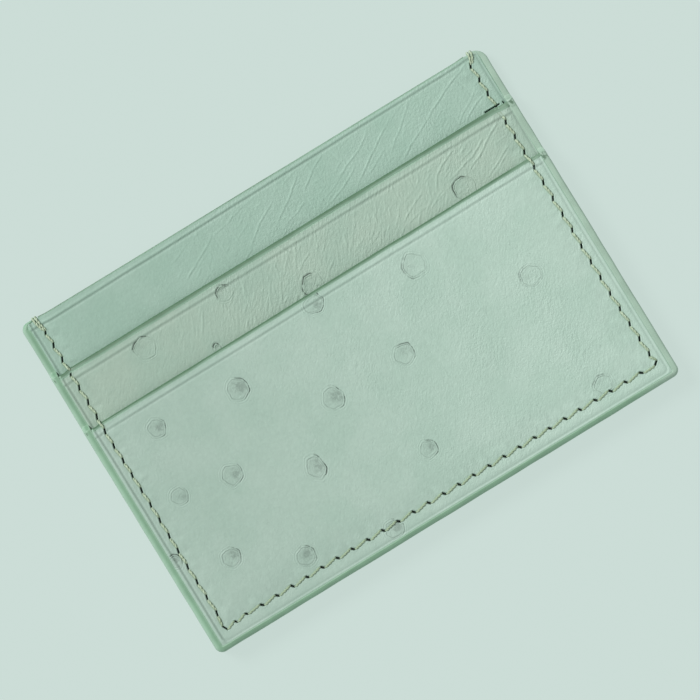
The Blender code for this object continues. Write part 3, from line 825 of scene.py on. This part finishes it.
def edgePaint(name, look):
    # layered acrylic edge paint, sanded and heat-smoothed: deeper green where it pools, a satin bead with
    # faint ripples along the edge; painted light in its colour: a shade ramp across the rounded band,
    # painted highlight on the right-hand and left-hand rims, and painted shade at the steps beside the
    # right-hand mouths
    material, tree, made = newMaterial(name, {
        "pools": (3.0, 3.0, 0.5, 0.0), "crumbs": (0.6, 3.0, 0.5, 0.0), "ripples": (0.7, 3.0, 0.5, 0.0),
    }, ("outward",))
    addSteps(
        tree, made,
        ("split", "SeparateXYZ", "place"),
        # the colour across the rounded band, from its inner border to its outer edge, is painted light: on
        # the lips and the top edge painted shade darkens the outer edge; on the sides painted shade sits in
        # the inner groove and a paler, painted highlight on the outer rounding
        ("outerShare", "MapRange", "outward", *look["fade"], 0, 1),
        ("body", "Mix", "outerShare", look["inner"], look["outer"]),
        ("thinShare", "MapRange", "outward", 0.0, 0.24, 0.65, 0),
        ("thinned", "Mix", "thinShare", "body", look["thin"]),
        # painted highlight: paler on the right-hand side, and at the outer edge of the left-hand rim
        ("rightShare", "MapRange", "split", 0.040, 0.0495, 0, look["rightHighlight"]),
        ("paler", "Mix", "rightShare", "thinned", look["pale"]),
        ("leftShare", "MapRange", "split", -0.0499, -0.0492, look["leftHighlight"], 0),
        ("colour", "Mix", "leftShare", "paler", look["pale"]),
        # painted shade, in patches, where the layers step down beside the right-hand mouths
        ("rightSide", "MapRange", "split", 0.0480, 0.0488, 0, 1),
        ("onTop", "MapRange", "outward", 0.7, 0.95, 1, 0),
        ("patchy", "MapRange", "crumbs", 0.40, 0.58, 0.0, 0.8),
        ("smears", "product", "rightSide", "onTop", "patchy"),
    )
    for mouth in (upperMouth, lowerMouth):
        addSteps(
            tree, made,
            ("mouthOff", "Math SUBTRACT", "split Y", (mouth - 0.55) * metre),
            ("mouthAway", "Math ABSOLUTE", "mouthOff"),
            ("mouthNear", "MapRange", "mouthAway", 0.0003, 0.0012, look["smear"], 0),
            ("smear", "product", "smears", "mouthNear"),
            ("colour", "Mix", "smear", "colour", "4f6f56"),
        )
    addSteps(
        tree, made,
        ("depth", "MapRange", "pools", 0.3, 0.7, 0.95, 1.05),
        ("pooled", "VectorMath SCALE", {0: "colour", "Scale": "depth"}),
        ("gloss", "MapRange", "pools", 0.3, 0.7, 0.34, 0.46),
    )
    finishSurface(tree, made, "pooled", "ripples", 0.3, 0.05, {"IOR": 1.49, "Roughness": "gloss"})
    return material


def liningLeather(name, hexColour, cell):
    # thin skived calf, unglazed: matt, even, with a short nap
    material, tree, made = newMaterial(name, {"nap": (cell, 5.0, 0.65, 0.0)})
    addSteps(
        tree, made,
        ("shade", "MapRange", "nap", 0.3, 0.7, 0.84, 1.0),
        ("napped", "VectorMath SCALE", {0: linear(hexColour)[:3], "Scale": "shade"}),
    )
    finishSurface(tree, made, "napped", "nap", 0.4, 0.08, {"Roughness": 0.72, "Sheen Weight": 0.15})
    return material


def waxedThread(name):
    # waxed two-ply linen thread: pale plies, olive where the wax sits in the twist, a fibrous satin
    material, tree, made = newMaterial(name, {"wax": (0.35, 3.0, 0.5, 0.0)})
    addSteps(
        tree, made,
        ("waxShare", "MapRange", "wax", 0.35, 0.7, 0, 1),
        ("clean", "Mix", "waxShare", "bfd0b6", "a4b898"),
        # the bottom run is darker and greener
        ("split", "SeparateXYZ", "place"),
        ("handled", "MapRange", "split Y", -0.0305, -0.0285, 0.85, 0),
        ("colour", "Mix", "handled", "clean", "9bb091"),
    )
    finishSurface(tree, made, "colour", "wax", 0.4, 0.04, {"Roughness": 0.5, "Sheen Weight": 0.1})
    return material


# drift is painted light, paler towards the right; the dark settings give painted shade at the pads and,
# with the heat's darkening, in the creases; the fold-light strength sets painted highlight and shade on the
# folds
leatherLook = {
    "light": "afc6b9", "deep": "a8c1b3", "drift": (0.94, 1.12), "foldDark": 0.24, "insideDark": 0.69,
    "outline": 1.0, "creaseDark": 0.85, "rub": 0.07, "paintBleed": "8fb59b", "grain": 0.7,
    "grainAngle": 54, "rough": 0.50, "stretch": 0.40, "pores": 0.9,
}
stripLook = {**leatherLook, "drift": (0.96, 1.04), "rub": 0.10}
frontLeather = ostrichLeather("satinOstrichFront", leatherLook)
upperLeather = ostrichLeather("satinOstrichUpper", {
    **stripLook, "light": "a8beae", "deep": "a2bbab", "grainAngle": 56, "stretch": 0.32, "pores": 0.6,
    "outline": 0.25,
})
bodyLeather = ostrichLeather("satinOstrichBody", {
    **stripLook, "light": "a3bfb0", "deep": "9dbbab", "grainAngle": 70, "stretch": 0.45,
})
# inner and outer colours ramp painted shade and highlight across the rounded band; the right and left
# shares are painted highlight on the rims, and the step setting painted shade beside the mouths
edgeLook = {
    "inner": "80a68a", "outer": "8cb297", "fade": (0.3, 0.75), "pale": "a8c1b0", "rightHighlight": 0.85,
    "leftHighlight": 0.6, "thin": "a5c4ae", "smear": 1.0,
}
mouthLook = {**edgeLook, "rightHighlight": 0.5, "leftHighlight": 0.0}
paintGreen = edgePaint("smoothedEdgePaint", edgeLook)
# the lips and the top edge are darkest at their outer edge: dark paint together with painted shade for the
# gap between the layers
lipPaint = edgePaint("lipEdgePaint", {
    **mouthLook, "inner": "93b49f", "outer": "55775c", "fade": (0.0, 0.62), "pale": "8fae97",
})
topPaint = edgePaint("topEdgePaint", {
    **mouthLook, "inner": "93b49e", "outer": "557059", "fade": (0.2, 0.7), "pale": "9ab5a1",
})
liningCalf = liningLeather("skivedLiningCalf", "9dbba8", 0.5)
weltSplit = liningLeather("splitWeltLeather", "93b09c", 0.9)
linenThread = waxedThread("waxedLinenThread")
print("materials ready")


# the four leather panels

sheetDefaults = {
    "rim": holder["stripRim"], "lipDepth": 1.0, "pillow": 0.10, "step": 0.17, "rowStep": 0.15,
    "up": 1, "leaf": False, "mouth": 0.0, "cover": 0.5, "lipRise": 0.0, "lipSlope": 0.0,
    "creaseSlope": 0.0, "creaseWide": 0.22, "padShade": 1.0, "foldDepth": 0.070,
    "gaps": (), "quills": (), "creases": (), "fineFrom": -99,
    "grain": (0.5, 0.5, 0, 1), "leather": frontLeather,
}
sheets = {
    "lowerSlotPanel": {
        **sheetDefaults, "node": "lower_slot_panel", "face": frontFace, "mouth": lowerMouth,
        "rim": holder["rim"], "step": 0.25, "rowStep": 0.25, "seed": 3, "cover": 0.62,
        "lipRise": 0.33, "lipSlope": 0.20, "lipCrease": 1.95, "quills": lowerQuills,
        "wrinkles": lowerWrinkles, "pillow": 0.14, "grain": (0.22, 0.75, 20, 80),
    },
    "upperSlotPanel": {
        **sheetDefaults, "node": "upper_slot_panel", "face": upperFace, "mouth": upperMouth,
        "leather": upperLeather,
        "fineFrom": lowerMouth - 0.4, "seed": 4, "cover": 0.92, "lipRise": 0.14, "lipCrease": 2.30,
        "creaseWide": 0.30, "padShade": 0.25, "foldDepth": 0.088, "lipSlope": 0.05,
        "quills": upperQuills, "creases": upperCreases, "wrinkles": upperWrinkles,
        "grain": (0.35, 1.15, 24, 42),
    },
    "bodyPanel": {
        **sheetDefaults, "node": "body_panel", "face": bodyFace, "leaf": True, "lipCrease": 1.40,
        "leather": bodyLeather,
        "creaseSlope": -0.45, "fineFrom": upperMouth - 0.6, "seed": 5, "creases": bodyCreases,
        "wrinkles": bodyWrinkles, "lipDepth": 1.25, "cover": 0.22, "grain": (0.30, 0.75, 24, 60),
        # two dark gaps just right of the upper mouth, sunk and given the slits' near-black: painted shadow
        # under the lifted lip
        "gaps": (
            (45.8, upperMouth + 0.36, 0, 3.3, 0.22), (48.2, upperMouth + 0.05, 100, 0.9, 0.2),
        ),
    },
    "rearPanel": {
        **sheetDefaults, "node": "rear_panel", "face": 0.12, "leaf": True, "up": -1,
        "rim": holder["rearRim"], "step": 0.45, "rowStep": 0.45, "seed": 6, "lipCrease": 1.5,
        "quills": rearQuills, "wrinkles": rearWrinkles, "pillow": 0.0, "cover": 0.22,
    },
}
for name, sheet in sheets.items():
    low, high = spanOf(sheet["node"])
    sheet["thickness"] = abs(high.z - sheet["face"]) if sheet["up"] < 0 else high.z - low.z
    piece = leatherSheet(name, sheet, sheet["leather"])
    standIn(piece, sheet["node"])
    print(name, len(piece.data.vertices))
print("leather panels made")


# edge paint

def loft(name, sections, outward, material, sharpAngle=60):
    # closed skin through rings of points, capped at both ends; outward is kept for the shader
    count, ring = len(sections), len(sections[0])
    points = np.asarray(sections, float).reshape(-1, 3)
    index = np.arange(count * ring).reshape(count, ring)
    after = np.roll(index, -1, axis=1)
    quads = np.stack([index[:-1], index[1:], after[1:], after[:-1]], axis=-1).reshape(-1, 4).tolist()
    caps = [index[0].tolist(), index[-1][::-1].tolist()]
    obj = meshObject(name, points, quads + caps, material, sharpAngle)
    setAttribute(obj, "outward", outward)
    return obj


paint = {
    "skin": 0.16, "bead": 0.045, "ripple": 0.03, "layerGroove": 0.05, "step": 0.7,
    "fillet": 1.1,  # where the stack steps down past a mouth
    "open": 2.5,  # from the side to the path's ends on the top edge
    "thin": (0.35, 0.5),  # reach at those ends and along the top corners
}
layerLines = [
    spanOf(node)[0].z - 0.015 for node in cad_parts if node.endswith(("_lining", "_welt"))
]


def stackHeight(y):
    # height of the layered edge, which steps down past each slot's mouth
    height = frontFace - (frontFace - upperFace) * smooth(y, lowerMouth, lowerMouth + paint["fillet"])
    return height - (upperFace - bodyFace) * smooth(y, upperMouth, upperMouth + paint["fillet"])


def outlinePath():
    # open path round the outline from the left backtack to the right one, as place, outward
    # normal and reach of the paint
    start = halfWidth - paint["open"]
    endReach, topReach = paint["thin"]
    top, low = holder["topCorner"], holder["bottomCorner"]
    reach = holder["reach"]
    stations = []

    def straight(first, second, outward, reachFrom, reachTo):
        length = math.dist(first, second)
        for t in np.linspace(0, 1, max(2, int(length / paint["step"]))):
            stations.append((first[0] + (second[0] - first[0]) * t,
                             first[1] + (second[1] - first[1]) * t, *outward,
                             reachFrom + (reachTo - reachFrom) * t))

    def arc(cx, cy, radius, fromAngle, toAngle, reachFrom, reachTo):
        for t in np.linspace(0, 1, 11)[1:-1]:
            angle = math.radians(fromAngle + (toAngle - fromAngle) * t)
            stations.append((cx + radius * math.cos(angle), cy + radius * math.sin(angle),
                             math.cos(angle), math.sin(angle), reachFrom + (reachTo - reachFrom) * t))

    def side(sign, yStart, yEnd):
        marks = [m + d for m in (upperMouth, lowerMouth) for d in np.linspace(-0.1, 1.2, 10)]
        even = np.linspace(yStart, yEnd, int(abs(yEnd - yStart) / paint["step"]))
        for y in sorted([*even, *marks], reverse=yEnd < yStart):
            stations.append((sign * halfWidth, y, sign, 0.0, reach[sign]))

    straight((-start, topY), (-halfWidth + top[-1], topY), (0.0, 1.0), endReach, topReach)
    arc(-halfWidth + top[-1], topY - top[-1], top[-1], 90, 180, topReach, reach[-1])
    side(-1, topY - top[-1], bottomY + low)
    arc(-halfWidth + low, bottomY + low, low, 180, 270, reach[-1], reach[0])
    straight((-halfWidth + low, bottomY), (halfWidth - low, bottomY), (0.0, -1.0), reach[0], reach[0])
    arc(halfWidth - low, bottomY + low, low, 270, 360, reach[0], reach[1])
    side(1, bottomY + low, topY - top[1])
    arc(halfWidth - top[1], topY - top[1], top[1], 0, 90, reach[1], topReach)
    straight((halfWidth - top[1], topY), (start, topY), (0.0, 1.0), topReach, endReach)
    return stations


def edgeSection(height, along, reach, sharper):
    # (inward, z) from the front border of the paint, round the edge, to its rear border
    full = smooth(height, upperFace, frontFace)
    rim = holder["stripRim"] + (holder["rim"] - holder["stripRim"]) * full
    rear = holder["rearRim"]
    reach += 0.05 * softNoise(np.array([along]), np.array([0.0]), 5.0, 51)[0]
    rim *= 1 - sharper
    crown = min(reach - 0.12, rim)
    top = height + paint["bead"]
    section = [(reach, height - 0.03), (reach - 0.05, height + 0.02), (reach - 0.14, top)]
    for angle in np.radians(np.linspace(88, 6, 10)):
        section.append((crown - crown * math.cos(angle), top - rim + rim * math.sin(angle)))
    lowest, highest = rear + 0.05, height - rim - 0.03
    for z in np.linspace(highest, lowest, 22):
        groove = sum(float(bell(z - line, 0.09)) for line in layerLines)
        section.append((paint["layerGroove"] * groove, z))
    for angle in np.radians(np.linspace(4, 86, 7)):
        section.append((rear - rear * math.cos(angle), rear - rear * math.sin(angle) + 0.005))
    section.append((rear + 0.1, 0.01))
    return section


def perimeterPaint():
    stations = outlinePath()
    steps = [math.dist(a[:2], b[:2]) for a, b in zip(stations, stations[1:])]
    along = np.concatenate([[0], np.cumsum(steps)])
    sections, outward = [], []
    for (x, y, nx, ny, reach), s in zip(stations, along):
        height = float(stackHeight(np.array(y)))
        outer = edgeSection(height, s, reach, 0.55 * max(nx, 0))
        ripple = paint["ripple"] * softNoise(np.array([s]), np.array([3.0]), 3.5, 52)[0]
        ring = [(x - nx * (d + ripple * (d < 0.5)), y - ny * (d + ripple * (d < 0.5)), z)
                for d, z in outer]
        middle = height / 2
        for d, z in reversed(outer):
            inner = d + paint["skin"] * (1 if 0.15 < z < height - 0.1 else 0.4)
            zInner = z - paint["skin"] * 0.9 * (z - middle) / middle
            ring.append((x - nx * inner, y - ny * inner, zInner))
        sections.append(ring)
        shares = [1 - min(d / reach, 1) for d, z in outer]
        outward += shares + shares[::-1]
    return loft("perimeterPaint", sections, outward, paintGreen)


def lipSection(thickness, cover):
    # (back from the lip, z under the face) round a painted lip, then back inside the leather
    outer = [
        (cover, -0.05), (cover - 0.05, 0.015), (cover * 0.8, 0.03), (cover * 0.55, 0.01), (0.20, -0.07),
        (0.08, -0.18), (0.01, -0.30), (0.0, -0.5 * thickness), (0.04, -0.68 * thickness),
        (0.14, -0.88 * thickness), (0.30, -thickness), (0.42, -thickness + 0.01),
    ]
    inner = [
        (0.40, -thickness + 0.12), (0.22, -0.72 * thickness), (0.20, -0.45 * thickness),
        (0.30, -0.22), (cover * 0.7 + 0.05, -0.12),
    ]
    return outer + inner


def lipPaintPiece(name, sheet, faceZ, thickness, end, material):
    xs = joinRuns(spaced(-end, end, 0.9), spaced(-end, -end + 6, 0.35), spaced(end - 6, end, 0.35))
    section = lipSection(thickness, sheet["cover"])
    lips = lipLine(xs, sheet)
    swell = 1 + 0.18 * softNoise(xs, 0 * xs, 4.0, sheet["seed"] + 60)
    lie = sheet["up"] * sheetLie(xs, lips - 0.5, sheet)
    sections = [
        [(x, lip - back * (s if back > 0.3 else 1), faceZ + z + rise * max(0, 1 + z / thickness))
         for back, z in section]
        for x, lip, s, rise in zip(xs, lips, swell, lie)
    ]
    outward = [1 - min(back / sheet["cover"], 1) for back, z in section]
    return loft(name, sections, outward * len(sections), material)


standIn(perimeterPaint(), "perimeter_edge_paint")
leafThick = bodyFace - spanOf("body_panel_lining")[0].z
slotThick = frontFace - spanOf("lower_slot_lining")[0].z
rearTop = spanOf("rear_panel_lining")[1].z
slotEnd = halfWidth - 0.30
leafEnd = halfWidth - 3.8
lipPieces = (
    ("lowerLipPaint", "lowerSlotPanel", frontFace, slotThick, slotEnd, lipPaint, "lower_slot_edge_paint"),
    ("upperLipPaint", "upperSlotPanel", upperFace, slotThick, slotEnd, lipPaint, "upper_slot_edge_paint"),
    ("bodyLipPaint", "bodyPanel", bodyFace, leafThick, leafEnd, topPaint, "body_panel_edge_paint"),
    ("rearLipPaint", "rearPanel", rearTop, rearTop - 0.05, leafEnd, topPaint, "rear_panel_edge_paint"),
)
for name, owner, faceZ, thick, end, finish, node in lipPieces:
    standIn(lipPaintPiece(name, sheets[owner], faceZ, thick, end, finish), node)
print("painted edges made")


# thread

def threadTree():
    # every spline becomes a two-ply thread: each ply winds round the spline as a thin tube
    tree = bpy.data.node_groups.new("twistedThread", "GeometryNodeTree")
    face = tree.interface
    face.new_socket("Geometry", in_out="INPUT", socket_type="NodeSocketGeometry")
    for label in ("Ply Radius", "Lay Radius", "Twist Length", "Step"):
        face.new_socket(label, in_out="INPUT", socket_type="NodeSocketFloat")
    face.new_socket("Material", in_out="INPUT", socket_type="NodeSocketMaterial")
    face.new_socket("Geometry", in_out="OUTPUT", socket_type="NodeSocketGeometry")
    made = {}
    addSteps(
        tree, made,
        ("given", "NodeGroupInput"),
        ("path", "GeometryNodeResampleCurve", {"Curve": "given Geometry", "Length": "given Step"}),
        ("normal", "GeometryNodeInputNormal"),
        ("tangent", "GeometryNodeInputTangent"),
        ("across", "VectorMath CROSS_PRODUCT", "tangent", "normal"),
        ("spline", "GeometryNodeSplineParameter"),
        ("turns", "Math DIVIDE", "spline Length", "given Twist Length"),
        ("profile", "GeometryNodeCurvePrimitiveCircle", {"Resolution": 6, "Radius": "given Ply Radius"}),
        ("joined", "GeometryNodeJoinGeometry"),
    )
    for phase in (0.0, math.pi):
        addSteps(
            tree, made,
            ("angle", "Math MULTIPLY_ADD", "turns", 2 * math.pi, phase),
            ("cosine", "Math COSINE", "angle"),
            ("sine", "Math SINE", "angle"),
            ("out", "product", "cosine", "given Lay Radius"),
            ("over", "product", "sine", "given Lay Radius"),
            ("outward", "VectorMath SCALE", {0: "normal", "Scale": "out"}),
            ("sideways", "VectorMath SCALE", {0: "across", "Scale": "over"}),
            ("offset", "VectorMath ADD", "outward", "sideways"),
            ("ply", "GeometryNodeSetPosition", {"Geometry": "path", "Offset": "offset"}),
            ("tube", "GeometryNodeCurveToMesh", {
                "Curve": "ply", "Profile Curve": "profile", "Fill Caps": True,
            }),
        )
        tree.links.new(made["tube"].outputs[0], made["joined"].inputs[0])
    addSteps(
        tree, made,
        ("rounded", "GeometryNodeSetShadeSmooth", "joined"),
        ("real", "GeometryNodeRealizeInstances", "rounded"),
        ("coloured", "GeometryNodeSetMaterial", {"Geometry": "real", "Material": "given Material"}),
        ("result", "NodeGroupOutput", "coloured"),
    )
    return tree


twistedThread = threadTree()


def spinThread(name, strands):
    # strands are lists of points; each becomes one length of thread
    curve = bpy.data.curves.new(name + "Path", "CURVE")
    curve.dimensions = "3D"
    for strand in strands:
        spline = curve.splines.new("NURBS")
        spline.points.add(len(strand) - 1)
        for point, place in zip(spline.points, strand):
            point.co = (*(value * metre for value in place), 1.0)
        spline.order_u = 3
        spline.use_endpoint_u = True
        spline.resolution_u = 8
    path = link(bpy.data.objects.new(name + "Path", curve))
    modifier = path.modifiers.new("twist", "NODES")
    modifier.node_group = twistedThread
    sizes = {
        "Ply Radius": seam["plyRadius"] * metre, "Lay Radius": seam["layRadius"] * metre,
        "Twist Length": seam["twistLength"] * metre, "Step": seam["threadStep"] * metre,
        "Material": linenThread,
    }
    for item in twistedThread.interface.items_tree:
        if item.name in sizes:
            modifier[item.identifier] = sizes[item.name]
    bpy.context.view_layer.update()
    evaluated = path.evaluated_get(bpy.context.evaluated_depsgraph_get())
    mesh = bpy.data.meshes.new_from_object(evaluated)
    mesh.name = name
    bpy.data.objects.remove(path)
    return link(bpy.data.objects.new(name, mesh))


def frontStitch(first, second):
    # out of one slit's outer end, along the leather, into the next slit's inner end
    start, end = slitEnds(first)[1], slitEnds(second)[0]
    ahead = (end - start).normalized() * seam["setBack"]
    start, end = start + ahead, end - ahead
    zStart, zEnd = faceAt(first[1]), faceAt(second[1])
    onBottomRun = max(first[1], second[1]) < seam["low"] + 1
    rest = seam["lift"] - seam["pinch"] - seam["tight"] * onBottomRun

    def along(t, z):
        place = start.lerp(end, t)
        return (place.x, place.y, z)

    path = [along(-0.02, zStart - 0.45), along(0.0, zStart - 0.12), along(0.10, zStart + rest)]
    if zStart == zEnd:
        path.append(along(0.5, zStart + rest + 0.02))
    for mouth in (upperMouth, lowerMouth):
        if not min(first[1], second[1]) < mouth < max(first[1], second[1]):
            continue
        # over the lip of a slot
        low, high = faceAt(mouth + 1), faceAt(mouth - 1)
        climb = [(0.62, low + 0.3), (0.52, high - 0.15), (0.28, high + 0.20), (-0.45, high + 0.20)]
        for over, z in climb if first[1] > second[1] else climb[::-1]:
            t = (mouth + over - start.y) / (end.y - start.y)
            if 0.06 < t < 0.94:
                path.append(along(t, z))
    return path + [along(0.90, zEnd + rest), along(1.0, zEnd - 0.12), along(1.02, zEnd - 0.45)]


def rearStitch(first, second):
    # on the back the thread lies in its pressed groove, under the flat of the leather
    start, end = Vector(first[:2]), Vector(second[:2])
    way = [(0.02, 0.55), (0.06, 0.32), (0.25, 0.27), (0.5, 0.26), (0.75, 0.27), (0.94, 0.32), (0.98, 0.55)]
    return [(*start.lerp(end, t), z) for t, z in way]


# each strand's place beside the hole, at the hole and at the edge
tacks = {-1: ((0.05, 0.85), (-0.28, 0.30)), 1: ((0.20, 0.64), (0.55, 1.25))}


def tackStrands(side):
    # doubled thread from the first hole over the top edge and down to the same hole on the back,
    # as the share of the way from hole to edge, y and z
    hole = holes[0] if side < 0 else holes[-1]
    way = (
        (0, hole[1] + 0.20, bodyFace - 0.40), (0, hole[1] + 0.30, bodyFace - 0.02),
        (0.5, hole[1] + 0.9, bodyFace + 0.12), (1, topY - 0.55, bodyFace + 0.16),
        (1, topY - 0.02, bodyFace + 0.08), (1, topY + 0.13, bodyFace - 0.30),
        (1, topY + 0.14, bodyFace / 2), (1, topY + 0.10, 0.55), (1, topY - 0.10, 0.27),
        (1, topY - 0.60, 0.26), (0.5, hole[1] + 0.8, 0.26), (0, hole[1] + 0.2, 0.50),
    )
    return [
        [(hole[0] + side * (atHole + (atEdge - atHole) * t), y, z) for t, y, z in way]
        for atHole, atEdge in tacks[side]
    ]


pairs = list(zip(holes, holes[1:]))
threads = (
    ("frontStitches", [frontStitch(*pair) for pair in pairs], "front_seam_thread"),
    ("rearStitches", [rearStitch(*pair) for pair in pairs], "rear_seam_thread"),
    ("leftBacktack", tackStrands(-1), "left_mouth_backtack"),
    ("rightBacktack", tackStrands(1), "right_mouth_backtack"),
)
for name, strands, node in threads:
    standIn(spinThread(name, strands), node)
print("thread sewn")


# finishes of the inner pieces

innerFinish = {"lining": liningCalf, "welt": weltSplit}
for node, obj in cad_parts.items():
    kind = node.rsplit("_", 1)[-1]
    if kind in innerFinish:
        obj.data.materials.clear()
        obj.data.materials.append(innerFinish[kind])
print("inner pieces finished")


# stage: floor, light, camera

studio = {
    "floor": "ccddd7", "floorGlow": 0.9, "sky": "eef2f0", "skyStrength": 0.52, "sunStrength": 2.3,
    "sunAngle": 24, "sunFrom": (-0.55, 0.80, 1.0), "roll": 31.45, "lens": 300.0, "sensor": 36.0,
    "viewWidth": 129.4, "sharpAt": 4.2, "floorReach": 1500.0,
}

floorMaterial, tree, made = newMaterial("matFloorPaper", {"tooth": (5 / 3, 3.0, 0.5, 0.0)})
# the paper is lit from behind as well, like a light table, which keeps the shadow faint
share = 1 - studio["floorGlow"]
finishSurface(tree, made, [c * share for c in linear(studio["floor"])[:3]] + [1.0], "tooth", 0.05, 0.1, {
    "Roughness": 0.9, "Specular IOR Level": 0.0, "Emission Color": linear(studio["floor"]),
    "Emission Strength": studio["floorGlow"],
})
reach = studio["floorReach"]
floor = meshObject(
    "floor", [(-reach, -reach, 0), (reach, -reach, 0), (reach, reach, 0), (-reach, reach, 0)],
    [(0, 1, 2, 3)], floorMaterial,
)

world = bpy.data.worlds.new("softRoom")
bpy.context.scene.world = world
world.use_nodes = True
background = world.node_tree.nodes["Background"]
background.inputs["Color"].default_value = linear(studio["sky"])
background.inputs["Strength"].default_value = studio["skyStrength"]

sunLight = bpy.data.lights.new("softKey", "SUN")
sunLight.energy = studio["sunStrength"]
sunLight.angle = math.radians(studio["sunAngle"])
sun = link(bpy.data.objects.new("softKey", sunLight))
sun.rotation_euler = Vector(studio["sunFrom"]).to_track_quat("Z", "Y").to_euler()

camera = bpy.data.cameras.new("camera")
camera.lens = studio["lens"]
camera.sensor_width = studio["sensor"]
cameraObject = link(bpy.data.objects.new("camera", camera))
distance = studio["viewWidth"] * studio["lens"] / studio["sensor"]
cameraObject.location = (0.0, 0.0, (distance + studio["sharpAt"]) * metre)
cameraObject.rotation_euler = (0.0, 0.0, math.radians(-studio["roll"]))
camera.clip_start = 0.01
camera.clip_end = 20.0
bpy.context.scene.camera = cameraObject
bpy.context.scene.view_settings.view_transform = "Standard"
print("stage set")
